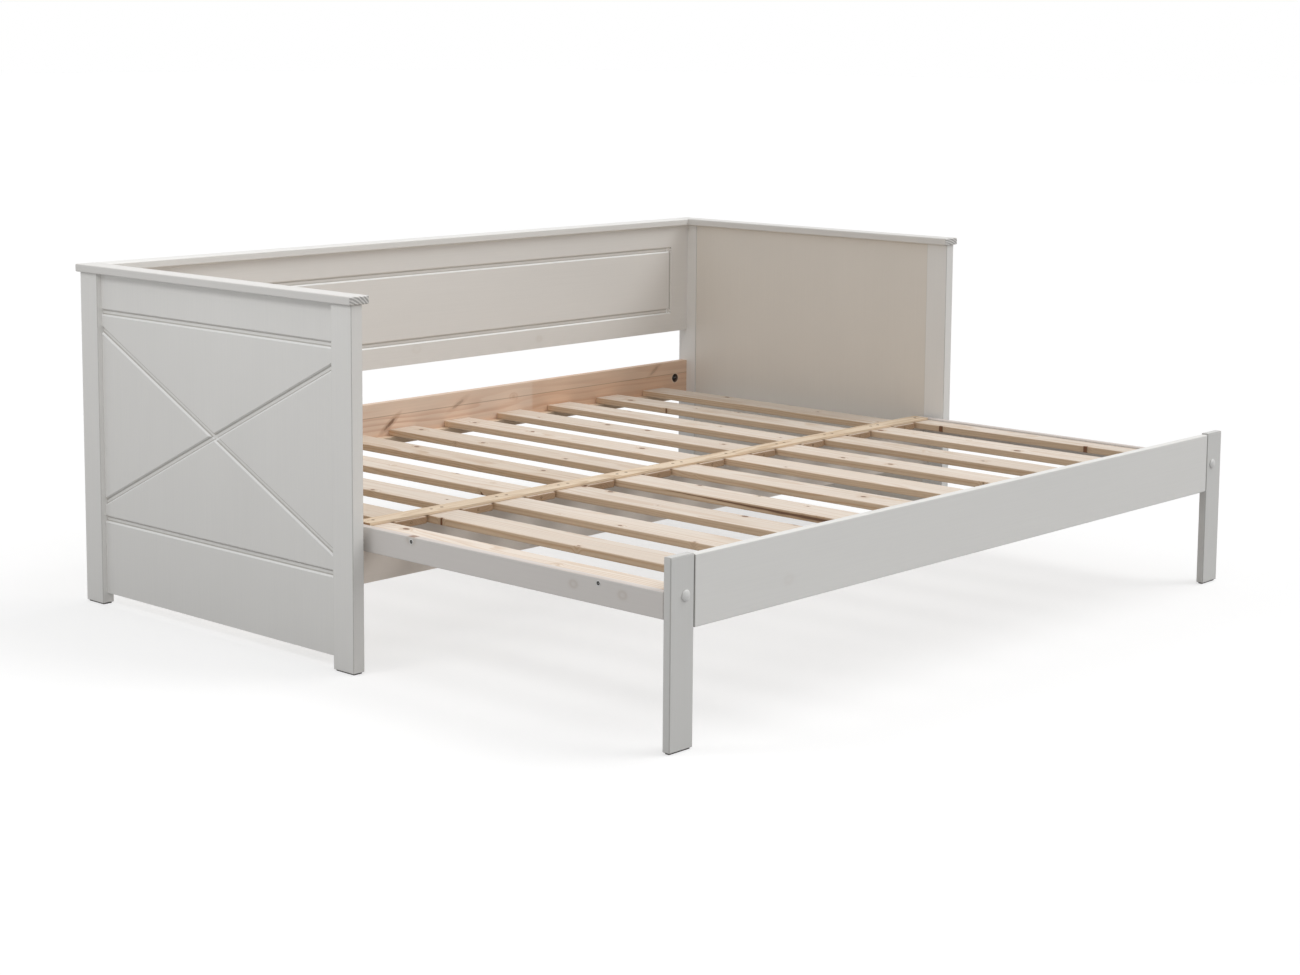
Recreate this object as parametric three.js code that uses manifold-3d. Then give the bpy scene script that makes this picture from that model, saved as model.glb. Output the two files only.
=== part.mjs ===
// Extending day bed: a three-sided slatted bed whose front half slides out on two legs.
// Units are millimetres. X runs along the length, Y to the back, Z up. The floor is z = 0.
// The bed is modelled pulled out; sliding the front half along +Y by its travel closes it.
import * as THREE from 'three';
import { mergeVertices } from 'three/addons/utils/BufferGeometryUtils.js';
import Module from 'manifold-3d';

const wasm = await Module();
wasm.setup();

// ---- driving dimensions ----------------------------------------------------------------
// Corner posts and the size of the fixed frame over them.
const bedLength = 2080;
const bedDepth = 946;
const postThickness = 30;
const postWidth = 64;
const postTop = 766;

// Thin glides under posts and legs.
const glideHeight = 3;
const glideInset = 4;

// Cap boards on the three sides.
const capThickness = 18;
const capOutside = 8;
const capInside = 14;
const capFront = 6;

// End panels between the posts.
const endPanelThickness = 16;
const endPanelRecess = 2;
const endPanelBottom = 27;

// Routed grooves with sloping walls: width at the face, width at the floor, depth.
const grooveWidth = 16;
const grooveFloor = 8;
const grooveDepth = 5;
const endGrooveLow = 201;
const endGrooveHigh = 678;
const crossLow = 240;
const crossHigh = 638;
const backGrooveLow = 521;
const backGrooveHigh = 698;
const backGrooveEnd = 77;

// Back panel and rear slat rail share one front face, set in from the back of the posts.
const backSetIn = 30;
const backPanelThickness = 20;
const backPanelBottom = 460;
const rearRailThickness = 22;
const rearRailTop = 370;
const rearRailHeight = 110;
const ledgerThickness = 22;
const ledgerHeight = 20;
const ledgerEndClear = 14;

// Slats of both frames. Fixed and sliding slats interleave in one plane; the sliding parts
// above and below the fixed ones clear them by the slide gap.
const pullSlatCount = 11;
const slatTop = 300;
const slatThickness = 16;
const slatGap = 8;
const endSlatWidth = 60;
const slideGap = 0.3;

// Apron board under the front ends of the fixed slats.
const apronSetIn = 41;
const apronThickness = 20;
const apronHeight = 107;
const fixedSlatOverhang = 23;
const notchClear = 2;

// Pull-out frame.
const legWidth = 65;
const legThickness = 18;
const legTop = 370;
const legSideClear = 14;
const frontRailDrop = 3;
const frontRailHeight = 138;
const railJointGap = 1.5;
const sideRailThickness = 18;
const sideRailRise = 4;
const sideRailHeight = 52;
const sideRailTail = 7;
const slatSideClear = 2;
const frontLedgerDepth = 20;
const cornerBlockDepth = 30;
const stripWidth = 45;
const stripThickness = 6;
const stripEndClear = 2;
const stripLip = 7;
const closedGap = 15.5;
const closedFrontGap = 0.5;

// Fasteners.
const boltDiameter = 8;
const boltClear = 0.3;
const capNutDiameter = 22;
const capNutHeight = 5;
const legBoltDrop = 76;
const legBoltInset = 41;
const legBoltReach = 24;
const accessHoleDiameter = 24;
const accessHoleInset = 50;
const rearBoltDrop = 48;
const apronBoltRise = 36;
const pocketClear = 0.5;
const postBoreDepth = 20;
const nutDiameter = 13;
const nutLength = 7;
const stopPinDiameter = 7;
const stopPinProud = 8;
const stopPinDepth = 12;
const stopPinRise = 16;
const stopGap = 0.5;

// ---- places worked out from the driving dimensions -------------------------------------
const postOuter = bedLength / 2;
const postInner = postOuter - postThickness;
const postFront = -bedDepth / 2;
const postBack = bedDepth / 2;
const backFace = postBack - backSetIn;
const endPanelInner = postInner + endPanelRecess;
const endPanelOuter = endPanelInner + endPanelThickness;
const capTop = postTop + capThickness;
const capInnerEdge = postInner - capInside;

const slatBottom = slatTop - slatThickness;
const supportTop = slatBottom - slideGap;
const apronFront = postFront + apronSetIn;
const apronBack = apronFront + apronThickness;
const apronBottom = supportTop - apronHeight;
const apronBoltZ = apronBottom + apronBoltRise;
const rearBoltZ = rearRailTop - rearBoltDrop;
const fixedSlatFront = apronFront - fixedSlatOverhang;
const stripBack = apronBack + stripLip;
const travel = backFace - closedGap - stripBack;
const legBack = fixedSlatFront - closedFrontGap - travel;
const pullFront = legBack - legThickness;

const legOuter = postInner - legSideClear;
const legInner = legOuter - legWidth;
const sideRailInner = legOuter - sideRailThickness;
const sideRailTop = slatTop + sideRailRise;
const sideRailBottom = sideRailTop - sideRailHeight;
const endSlatOuter = sideRailInner - slatSideClear;
const endSlatInner = endSlatOuter - endSlatWidth;
const fixedSlatCount = pullSlatCount - 1;
const slatPitch = (endSlatInner - slatGap / 2) / ((fixedSlatCount - 1) / 2 + 1 / 4);
const slatWidth = slatPitch / 2 - slatGap;

// The finished part stands with its origin on the floor, under the middle of its whole box.
const boxFront = pullFront - capNutHeight;
const boxBack = postBack + capOutside;
const originY = (boxFront + boxBack) / 2;

// ---- finishes --------------------------------------------------------------------------
function finish(color, roughness, metalness) {
  return () => new THREE.MeshStandardMaterial({ color, roughness, metalness });
}
const whitePaint = finish(0xe9e8e4, 0.42, 0);
const rawPine = finish(0xe2d2bd, 0.7, 0);
const pinkPine = finish(0xcfa98b, 0.7, 0);
const stripPine = finish(0xdcbd9b, 0.65, 0);
const darkGlide = finish(0x3b342e, 0.8, 0);
const zincSteel = finish(0xb9bcbe, 0.35, 1);

// ---- geometry helpers ------------------------------------------------------------------
// A closed three.js geometry as a solid that can be cut.
function solid(geometry) {
  geometry.deleteAttribute('normal');
  geometry.deleteAttribute('uv');
  const merged = mergeVertices(geometry, 1e-4);
  const vertProperties = new Float32Array(merged.attributes.position.array);
  const triVerts = new Uint32Array(merged.index.array);
  return new wasm.Manifold(new wasm.Mesh({ numProp: 3, vertProperties, triVerts }));
}

// The cut solid back as a three.js geometry.
function surface(cutSolid) {
  const { vertProperties, triVerts } = cutSolid.getMesh();
  const geometry = new THREE.BufferGeometry();
  geometry.setAttribute('position', new THREE.BufferAttribute(vertProperties, 3));
  geometry.setIndex(new THREE.BufferAttribute(triVerts, 1));
  geometry.computeVertexNormals();
  return geometry;
}

// A board between two opposite corners, given as ranges along X, Y and Z in any order.
function board([x0, x1], [y0, y1], [z0, z1]) {
  const geometry = new THREE.BoxGeometry(Math.abs(x1 - x0), Math.abs(y1 - y0), Math.abs(z1 - z0));
  return geometry.translate((x0 + x1) / 2, (y0 + y1) / 2, (z0 + z1) / 2);
}

function cut(geometry, tools) {
  return surface(tools.reduce((body, tool) => body.subtract(solid(tool)), solid(geometry)));
}

// A round drill along X or Y between two points of its axis.
function drillX([x0, x1], y, z, diameter) {
  const drill = new THREE.CylinderGeometry(diameter / 2, diameter / 2, Math.abs(x1 - x0), 24);
  return drill.rotateZ(Math.PI / 2).translate((x0 + x1) / 2, y, z);
}
function drillY(x, [y0, y1], z, diameter) {
  const drill = new THREE.CylinderGeometry(diameter / 2, diameter / 2, Math.abs(y1 - y0), 24);
  return drill.translate(0, (y0 + y1) / 2, 0).translate(x, 0, z);
}

// A turned fastener: (radius, height) steps revolved about +Y, starting and ending on the axis.
function turned(steps) {
  const outline = [[0, steps[0][1]], ...steps, [0, steps.at(-1)[1]]];
  return new THREE.LatheGeometry(outline.map(([r, h]) => new THREE.Vector2(r, h)), 24);
}

// A groove cutter along a straight line on a face: a trapezoid section from the floor of the
// groove to just above the face, swept from `start` to `end`; `outward` is the face's normal.
function grooveCutter(start, end, outward) {
  const above = 1;
  const slope = (grooveWidth - grooveFloor) / 2 / grooveDepth;
  const mouth = grooveWidth / 2 + slope * above;
  const section = new THREE.Shape([
    new THREE.Vector2(-grooveFloor / 2, -grooveDepth),
    new THREE.Vector2(grooveFloor / 2, -grooveDepth),
    new THREE.Vector2(mouth, above),
    new THREE.Vector2(-mouth, above),
  ]);
  const along = end.clone().sub(start);
  const cutter = new THREE.ExtrudeGeometry(section, { depth: along.length(), bevelEnabled: false });
  const zAxis = along.normalize();
  const xAxis = new THREE.Vector3().crossVectors(outward, zAxis);
  const frame = new THREE.Matrix4().makeBasis(xAxis, outward, zAxis).setPosition(start);
  return cutter.applyMatrix4(frame);
}

// ---- assembly --------------------------------------------------------------------------
const bed = new THREE.Group();
const fixedFrame = new THREE.Group();
const pullFrame = new THREE.Group();
bed.add(fixedFrame, pullFrame);
bed.position.y = -originY;

function add(group, name, geometry, material) {
  const mesh = new THREE.Mesh(geometry, material());
  mesh.name = name;
  group.add(mesh);
}

const sides = [['left', -1], ['right', 1]];
const ends = [['front', postFront, 1], ['back', postBack, -1]];

function addPosts() {
  for (const [side, s] of sides) {
    for (const [end, y, inward] of ends) {
      const yRange = [y, y + inward * postWidth];
      const boltY = end === 'front' ? apronFront + apronThickness / 2 : backFace + rearRailThickness / 2;
      const boltZ = end === 'front' ? apronBoltZ : rearBoltZ;
      const bore = drillX([s * (postInner - 1), s * (postInner + postBoreDepth)], boltY, boltZ,
        boltDiameter + 2 * boltClear);
      const post = board([s * postInner, s * postOuter], yRange, [glideHeight, postTop]);
      add(fixedFrame, `${side}_${end}_post`, cut(post, [bore]), whitePaint);
      const xGlide = [s * (postInner + glideInset), s * (postOuter - glideInset)];
      const yGlide = [y + inward * glideInset, y + inward * (postWidth - glideInset)];
      add(fixedFrame, `${side}_${end}_post_glide`, board(xGlide, yGlide, [0, glideHeight]), darkGlide);
    }
  }
}

function addEndPanels() {
  const yFront = postFront + postWidth;
  const yBack = postBack - postWidth;
  for (const [side, s] of sides) {
    const face = s * endPanelOuter;
    const outward = new THREE.Vector3(s, 0, 0);
    const past = grooveWidth;
    const slope = (crossHigh - crossLow) / (yBack - yFront);
    const line = (z0, z1) => {
      const rise = past * Math.sign(z1 - z0) * slope;
      const start = new THREE.Vector3(face, yFront - past, z0 - rise);
      return grooveCutter(start, new THREE.Vector3(face, yBack + past, z1 + rise), outward);
    };
    const grooves = [line(endGrooveLow, endGrooveLow), line(endGrooveHigh, endGrooveHigh),
      line(crossLow, crossHigh), line(crossHigh, crossLow)];
    const panel = board([s * endPanelInner, face], [yFront, yBack], [endPanelBottom, postTop]);
    add(fixedFrame, `${side}_end_panel`, cut(panel, grooves), whitePaint);
    const cap = board([s * capInnerEdge, s * (postOuter + capOutside)],
      [postFront - capFront, postBack + capOutside], [postTop, capTop]);
    add(fixedFrame, `${side}_cap`, cap, whitePaint);
  }
}

function addBack() {
  const half = postInner - backGrooveEnd;
  const corner = (x, z) => new THREE.Vector3(x, backFace, z);
  const outward = new THREE.Vector3(0, -1, 0);
  const reach = grooveFloor / 2;
  const grooves = [backGrooveLow, backGrooveHigh].map((z) =>
    grooveCutter(corner(-half - reach, z), corner(half + reach, z), outward));
  for (const [, s] of sides) {
    grooves.push(grooveCutter(corner(s * half, backGrooveLow - reach),
      corner(s * half, backGrooveHigh + reach), outward));
  }
  const panel = board([-postInner, postInner], [backFace, backFace + backPanelThickness],
    [backPanelBottom, postTop]);
  add(fixedFrame, 'back_panel', cut(panel, grooves), whitePaint);
  const cap = board([-capInnerEdge, capInnerEdge], [backFace - capInside, postBack + capOutside],
    [postTop, capTop]);
  add(fixedFrame, 'back_cap', cap, whitePaint);
}

// A bolt that ties the end of a cross board to its post, with its nut in the board's access hole.
function crossBolt(s, y, z) {
  const shank = boltDiameter / 2;
  const nut = nutDiameter / 2;
  const nutFrom = postInner - accessHoleInset;
  const shankTo = postInner + postBoreDepth - 1;
  const bolt = turned([[nut, nutFrom], [nut, nutFrom + nutLength], [shank, nutFrom + nutLength],
    [shank, shankTo]]);
  return bolt.rotateZ(-s * Math.PI / 2).translate(0, y, z);
}

function addRearRail() {
  const middle = backFace + rearRailThickness / 2;
  const pocket = [backFace - 1, middle + nutDiameter / 2 + pocketClear];
  const holes = sides.flatMap(([, s]) => [
    drillY(s * (postInner - accessHoleInset), pocket, rearBoltZ, accessHoleDiameter),
    drillX([s * (postInner - accessHoleInset), s * (postInner + 1)], middle, rearBoltZ,
      boltDiameter + 2 * boltClear),
  ]);
  const rail = board([-postInner, postInner], [backFace, backFace + rearRailThickness],
    [rearRailTop - rearRailHeight, rearRailTop]);
  add(fixedFrame, 'rear_rail', cut(rail, holes), pinkPine);
  const half = sideRailInner - ledgerEndClear - slatSideClear;
  const ledger = board([-half, half], [backFace - ledgerThickness, backFace],
    [supportTop - ledgerHeight, supportTop]);
  add(fixedFrame, 'rear_ledger', ledger, pinkPine);
  for (const [side, s] of sides) {
    add(fixedFrame, `${side}_rear_bolt`, crossBolt(s, middle, rearBoltZ), zincSteel);
  }
}

function addApron() {
  const middle = apronFront + apronThickness / 2;
  const cuts = sides.flatMap(([, s]) => {
    const holeX = s * (postInner - accessHoleInset);
    const pocket = [middle - nutDiameter / 2 - pocketClear, apronBack + 1];
    return [
      board([s * (sideRailInner - notchClear), s * (postInner + 1)], [apronFront - 1, apronBack + 1],
        [sideRailBottom - notchClear, supportTop + 1]),
      drillY(holeX, pocket, apronBoltZ, accessHoleDiameter),
      drillX([holeX, s * (postInner + 1)], middle, apronBoltZ, boltDiameter + 2 * boltClear),
    ];
  });
  const apron = board([-postInner, postInner], [apronFront, apronBack], [apronBottom, supportTop]);
  add(fixedFrame, 'apron', cut(apron, cuts), whitePaint);
  for (const [side, s] of sides) {
    add(fixedFrame, `${side}_apron_bolt`, crossBolt(s, middle, apronBoltZ), zincSteel);
  }
}

function addFixedSlats() {
  for (let i = 0; i < fixedSlatCount; i++) {
    const x = (i - (fixedSlatCount - 1) / 2) * slatPitch;
    const slat = board([x - slatWidth / 2, x + slatWidth / 2], [fixedSlatFront, backFace],
      [slatBottom, slatTop]);
    add(fixedFrame, `fixed_slat_${String(i + 1).padStart(2, '0')}`, slat, rawPine);
  }
}

function addPullSlats() {
  for (let i = 0; i < pullSlatCount; i++) {
    const step = i - (pullSlatCount - 1) / 2;
    const s = Math.sign(step);
    const isEnd = i === 0 || i === pullSlatCount - 1;
    const x = step * slatPitch;
    const xRange = isEnd ? [s * endSlatInner, s * endSlatOuter] : [x - slatWidth / 2, x + slatWidth / 2];
    const yFront = isEnd ? legBack + cornerBlockDepth : legBack;
    const slat = board(xRange, [yFront, stripBack], [slatBottom, slatTop]);
    add(pullFrame, `pull_slat_${String(i + 1).padStart(2, '0')}`, slat, rawPine);
  }
  const stripHalf = endSlatOuter - stripEndClear;
  const strip = board([-stripHalf, stripHalf], [stripBack - stripWidth, stripBack],
    [slatTop + slideGap, slatTop + slideGap + stripThickness]);
  add(pullFrame, 'tie_strip', strip, stripPine);
}

function addPullFront() {
  const railHalf = legInner - railJointGap;
  const railTop = legTop - frontRailDrop;
  const rail = board([-railHalf, railHalf], [pullFront, legBack], [railTop - frontRailHeight, railTop]);
  add(pullFrame, 'front_rail', rail, whitePaint);
  const ledger = board([-endSlatOuter, endSlatOuter], [legBack, legBack + frontLedgerDepth],
    [supportTop - ledgerHeight, supportTop]);
  add(pullFrame, 'front_ledger', ledger, rawPine);
}

function addLegs() {
  const boltZ = legTop - legBoltDrop;
  const blockBack = legBack + cornerBlockDepth;
  for (const [side, s] of sides) {
    const boltX = s * (legOuter - legBoltInset);
    const bore = drillY(boltX, [pullFront - 1, legBack + legBoltReach + 1], boltZ,
      boltDiameter + 2 * boltClear);
    const leg = board([s * legInner, s * legOuter], [pullFront, legBack], [glideHeight, legTop]);
    add(pullFrame, `${side}_leg`, cut(leg, [bore]), whitePaint);
    const xGlide = [s * (legInner + glideInset), s * (legOuter - glideInset)];
    const yGlide = [pullFront + glideInset, legBack - glideInset];
    add(pullFrame, `${side}_leg_glide`, board(xGlide, yGlide, [0, glideHeight]), darkGlide);
    const block = board([s * endSlatInner, s * endSlatOuter], [legBack, blockBack],
      [slatBottom, slatTop]);
    add(pullFrame, `${side}_corner_block`, cut(block, [bore]), rawPine);
    const dome = capNutDiameter / 2;
    const shank = boltDiameter / 2;
    const bolt = turned([[dome * 0.6, -capNutHeight], [dome * 0.9, -capNutHeight * 0.6], [dome, 0],
      [shank, 0], [shank, legThickness + legBoltReach]]);
    add(pullFrame, `${side}_leg_bolt`, bolt.translate(boltX, pullFront, boltZ), whitePaint);
  }
}

function addSideRails() {
  const pinY = apronBack + stopGap + stopPinDiameter / 2;
  const pinZ = sideRailBottom + stopPinRise;
  const railBack = apronBack + stripLip + sideRailTail;
  for (const [side, s] of sides) {
    const bore = drillX([s * (sideRailInner - 1), s * (sideRailInner + stopPinDepth + boltClear)], pinY,
      pinZ, stopPinDiameter + 2 * boltClear);
    const rail = board([s * sideRailInner, s * legOuter], [legBack, railBack],
      [sideRailBottom, sideRailTop]);
    add(pullFrame, `${side}_side_rail`, cut(rail, [bore]), whitePaint);
    const pin = drillX([s * (sideRailInner - stopPinProud), s * (sideRailInner + stopPinDepth)], pinY,
      pinZ, stopPinDiameter);
    add(pullFrame, `${side}_stop_pin`, pin, zincSteel);
  }
}

addPosts();
addEndPanels();
addBack();
addRearRail();
addApron();
addFixedSlats();
addPullSlats();
addPullFront();
addLegs();
addSideRails();

export default bed;
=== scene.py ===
"""Looks for the extending day bed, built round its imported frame. Metres, +Z up, +Y to the back."""
import math

import bmesh
import bpy
import numpy as np
from mathutils import Matrix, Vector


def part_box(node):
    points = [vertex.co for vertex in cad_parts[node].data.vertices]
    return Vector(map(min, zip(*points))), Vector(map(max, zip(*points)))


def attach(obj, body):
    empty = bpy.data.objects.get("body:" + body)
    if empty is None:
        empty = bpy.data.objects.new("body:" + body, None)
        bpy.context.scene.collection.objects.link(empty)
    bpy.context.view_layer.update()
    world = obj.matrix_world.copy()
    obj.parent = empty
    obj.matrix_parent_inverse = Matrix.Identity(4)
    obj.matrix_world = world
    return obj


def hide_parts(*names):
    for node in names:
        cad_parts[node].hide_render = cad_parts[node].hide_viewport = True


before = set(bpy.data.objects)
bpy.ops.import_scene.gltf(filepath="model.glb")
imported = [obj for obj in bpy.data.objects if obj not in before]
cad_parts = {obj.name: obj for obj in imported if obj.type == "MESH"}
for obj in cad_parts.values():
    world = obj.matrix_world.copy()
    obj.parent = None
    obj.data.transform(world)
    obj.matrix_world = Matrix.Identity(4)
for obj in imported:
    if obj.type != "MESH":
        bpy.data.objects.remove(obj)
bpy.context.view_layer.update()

MM = 0.001
X, Y, Z = 0, 1, 2
SIDES = (("left", -1), ("right", 1))             # each side and its sign on X
FIXED, PULLED = "fixed_frame", "pull_out_frame"
rng = np.random.default_rng(41)

# ---- sizes of the details that only the looks have --------------------------------------
POST_EASE, CAP_EASE, RAIL_EASE = 2.2 * MM, 3.0 * MM, 2.6 * MM
SLAT_EASE, STRIP_EASE, GLIDE_EASE = 2.2 * MM, 1.0 * MM, 0.8 * MM
LEDGER_EASE, REAR_RAIL_EASE, APRON_EASE = 1.5 * MM, 1.4 * MM, 1.6 * MM
GROOVE_EASE = 0.5 * MM
EASING_STEPS = 3              # cuts of the arc along a board's rounded edge, to its middle
GROOVE_FLOOR, GROOVE_MOUTH = 4 * MM, 8 * MM      # half of each width
GROOVE_DEPTH = 5 * MM
END_GROOVES, CROSS_ENDS = (0.201, 0.678), (0.240, 0.638)         # heights
BACK_GROOVES, BACK_GROOVE_END = (0.521, 0.698), 0.933            # heights, half length
BARK_ENDS = (-0.68, -0.17)                       # front and back end of the bark seam, Y
BARK_TOP, BARK_DROP = 0.2965, 4.5 * MM           # height at its back end, fall to the front
ACCESS_HOLE, ACCESS_DEPTH, ACCESS_X = 12 * MM, 18 * MM, 0.960    # radius, depth, place
GLUE_LINE_Z = 0.335                              # of the rear rail's two lengths
# Past this X a painted shadow darkens and reddens the rear rail.
SHADOW_PAST = (0.372, 0.384)                     # the rear rail's tone changes here, X
# Spike knots of the rear rail: middle x and z, tilt in degrees, darkness.
SPIKE_KNOTS = ((-0.135, 0.314, 36, 0.85), (0.103, 0.339, 27, 0.38), (0.873, 0.354, 34, 0.3))
SPIKE_LENGTH, SPIKE_WIDTH = 32 * MM, 6.5 * MM    # half of each
SCREW_PAIR = 15 * MM          # from a slat's middle to each of its two strip screws
STRIP_SCREW_HEAD = 3.9 * MM   # radius
END_SCREW_HEAD = 3.6 * MM     # radius
END_SCREW_UP = 9 * MM         # above the slat's underside
RAIL_SCREW_RING = 5.8 * MM    # radius of the cup; the head fills RAIL_SCREW_HEAD of it
RAIL_SCREW_HEAD = 0.68
RAIL_SCREW_Z = 0.294
RAIL_SCREW_Y = (-0.187, -0.709)
SHANK_RADIUS, THREAD_DEPTH, THREAD_PITCH = 4 * MM, 0.35 * MM, 1.25 * MM
NUT_LENGTH = 7 * MM
TURNED_RIM = 0.8 * MM         # easing of nuts and pins
TURNS = 24                    # sides of a turned body
POLE = 0.2 * MM               # radius at which a turned body is closed with one face


# ---- shapes ------------------------------------------------------------------------------
def eased_places(a, b, ease):
    """Places along one edge of a board, a to b: the easing arc at each end is cut at equal
    angles, so a place lies ease * tan(angle) outside the flat part, for angles 0 to 45 degrees."""
    arc = ease * np.tan(np.linspace(0, math.pi / 4, EASING_STEPS + 1))
    return np.concatenate([a + ease - arc[::-1], b - ease + arc])


def eased_board(lo, hi, ease):
    """Points, outward directions and quads of a board with rounded edges. Each place p on the
    sharp box goes to q + ease * (p - q) / |p - q|, where q is the nearest point of the box
    shrunk by ease on every side; that direction is also the surface's outward direction."""
    lo, hi = np.array(lo, float), np.array(hi, float)
    places = [eased_places(lo[k], hi[k], ease) for k in range(3)]
    points, quads, first = [], [], 0
    for k in range(3):
        i, j = (k + 1) % 3, (k + 2) % 3
        u, v = np.meshgrid(places[i], places[j], indexing="ij")
        index = np.arange(u.size).reshape(u.shape)
        ring = np.stack([index[:-1, :-1], index[1:, :-1], index[1:, 1:], index[:-1, 1:]], -1)
        for level, turn in ((lo[k], -1), (hi[k], 1)):
            p = np.empty((u.size, 3))
            p[:, i], p[:, j], p[:, k] = u.ravel(), v.ravel(), level
            points.append(p)
            quads.append(ring.reshape(-1, 4)[:, ::turn] + first)
            first += u.size
    p = np.concatenate(points)
    q = np.clip(p, lo + ease, hi - ease)
    out = (p - q) / np.linalg.norm(p - q, axis=1, keepdims=True)
    p, out, quads = merged(q + ease * out, out, np.concatenate(quads))
    return p, out, quads


def merged(p, out, quads):
    """One point where several faces meet: points that agree to a tenth of a micron are joined."""
    _, keep, back = np.unique(np.round(p * 1e7).astype(np.int64), axis=0, return_index=True,
                              return_inverse=True)
    return p[keep], out[keep], back.ravel()[quads]


def turned(profile, cross, cross_depth):
    """A body of revolution about +Z: a point at (radius r, height h) and angle a is
    (r cos a, r sin a, h). A driver cross sinks the head's top by cross_depth * arm * reach:
    arm falls from 1 to 0 as the smaller of |x| and |y| nears a fifth of the cross, and reach
    falls from 1 to 0 over the last sixth of the cross as the larger one does."""
    profile = np.array(profile, float)
    a = np.linspace(0, 2 * math.pi, TURNS, endpoint=False)
    r, h = profile[:, :1], profile[:, 1:]
    p = np.stack([r * np.cos(a), r * np.sin(a), h + 0 * a], -1)
    if cross:
        x, y = np.abs(p[..., 0]), np.abs(p[..., 1])
        arm = np.clip((cross / 5 - np.minimum(x, y)) / (cross / 12), 0, 1)
        reach = np.clip((cross - np.maximum(x, y)) / (cross / 6), 0, 1)
        top = p[..., 2] > profile[:, 1].max() * 0.5
        p[..., 2] -= np.where(top, cross_depth * arm * reach, 0)
    rows = len(profile)
    index = np.arange(rows * TURNS).reshape(rows, TURNS)
    right = np.roll(index, -1, 1)
    quads = np.stack([index[:-1], right[:-1], right[1:], index[1:]], -1).reshape(-1, 4)
    return p.reshape(-1, 3), quads, (index[0], index[-1])


def stood(p, axis, at):
    """Points turned so that +Z goes along the axis, a unit vector along X, Y or Z, then moved."""
    axis = np.array(axis, float)
    side = np.roll(axis, 1)
    return p @ np.stack([side, np.cross(axis, side), axis]) + np.array(at)


def finish_piece(name, mesh, body, material, replaced):
    """Puts a mesh in the scene, on its body and in place of its CAD nodes."""
    piece = bpy.data.objects.new(name, mesh)
    bpy.context.scene.collection.objects.link(piece)
    mesh.materials.append(material)
    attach(piece, body)
    if replaced:
        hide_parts(*replaced)
    return piece


def write_marks(mesh, p, out, lo, hi, grain):
    """The attributes that the finishes read. "board" is the place in the board's own frame:
    across, along and through the grain, in metres, moved so that the tree's heart lies at
    across = through = 0 and no two boards share a stretch of grain. "marks" is the board's
    tone, how far the face is end grain, and how far the place is on a rounded edge.
    "narrow_side" is 1 on the two narrow long faces."""
    tone = rng.uniform(0, 1)
    lo, hi = np.array(lo, float), np.array(hi, float)
    size = hi - lo
    others = [k for k in range(3) if k != grain]
    across, through = sorted(others, key=lambda k: -size[k])
    middle = (lo + hi) / 2
    heart = (rng.uniform(-0.05, 0.05), rng.uniform(0.035, 0.11) * rng.choice((-1, 1)))
    start = rng.uniform(0, 40)
    board = np.stack([p[:, across] - middle[across] + heart[0], p[:, grain] + start,
                      p[:, through] - middle[through] + heart[1]], -1)
    biggest = np.abs(out).max(1)
    marks = np.stack([np.full(len(p), tone), np.abs(out[:, grain]),
                      np.clip((1 - biggest) / 0.25, 0, 1)], -1)
    for label, values in (("board", board), ("marks", marks)):
        layer = mesh.attributes.new(label, "FLOAT_VECTOR", "POINT")
        layer.data.foreach_set("vector", values.astype(np.float32).ravel())
    layer = mesh.attributes.new("narrow_side", "FLOAT", "POINT")
    layer.data.foreach_set("value", np.abs(out[:, across]).astype(np.float32))


def mesh_of(name, p, faces):
    mesh = bpy.data.meshes.new(name)
    mesh.from_pydata(p.tolist(), [], faces)
    mesh.update()
    return mesh


def smooth(mesh, out=None):
    """Smooth shading, with the points' outward directions where they are known."""
    mesh.polygons.foreach_set("use_smooth", np.ones(len(mesh.polygons), bool))
    if out is not None:
        mesh.normals_split_custom_set_from_vertices(out.tolist())


def board_piece(node, ease, grain, material, body):
    """A board with rounded edges that fills its CAD node's box."""
    lo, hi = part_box(node)
    p, out, quads = eased_board(lo, hi, ease)
    mesh = mesh_of(node + "_board", p, quads.tolist())
    smooth(mesh, out)
    write_marks(mesh, p, out, lo, hi, grain)
    return finish_piece(node + "_board", mesh, body, material, [node])


def eased_copy(node, ease, grain, material, body):
    """A board with cuts: the CAD node's own faces, joined, with every sharp edge eased. A
    point's outward direction is the sum of its faces' directions, each times its area."""
    work = bmesh.new()
    work.from_mesh(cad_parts[node].data)
    bmesh.ops.remove_doubles(work, verts=work.verts, dist=1e-5)
    bmesh.ops.dissolve_limit(work, angle_limit=math.radians(1), verts=work.verts,
                             edges=work.edges)
    sharp = [e for e in work.edges if e.calc_face_angle(0) > math.radians(25)]
    bmesh.ops.bevel(work, geom=sharp, offset=ease, segments=2, profile=0.5,
                    affect="EDGES", clamp_overlap=True)
    mesh = bpy.data.meshes.new(node + "_board")
    work.to_mesh(mesh)
    work.free()
    count = len(mesh.vertices)
    p = np.empty(count * 3)
    mesh.vertices.foreach_get("co", p)
    p = p.reshape(-1, 3)
    faces = len(mesh.polygons)
    normal, area, total = np.empty(faces * 3), np.empty(faces), np.empty(faces, np.int32)
    mesh.polygons.foreach_get("normal", normal)
    mesh.polygons.foreach_get("area", area)
    mesh.polygons.foreach_get("loop_total", total)
    corner = np.empty(len(mesh.loops), np.int32)
    mesh.loops.foreach_get("vertex_index", corner)
    pull = np.repeat(normal.reshape(-1, 3) * area[:, None], total, axis=0)
    out = np.zeros((count, 3))
    np.add.at(out, corner, pull)
    out /= np.maximum(np.linalg.norm(out, axis=1, keepdims=True), 1e-12)
    smooth(mesh, out)
    write_marks(mesh, p, out, p.min(0), p.max(0), grain)
    return finish_piece(node + "_board", mesh, body, material, [node])


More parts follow.
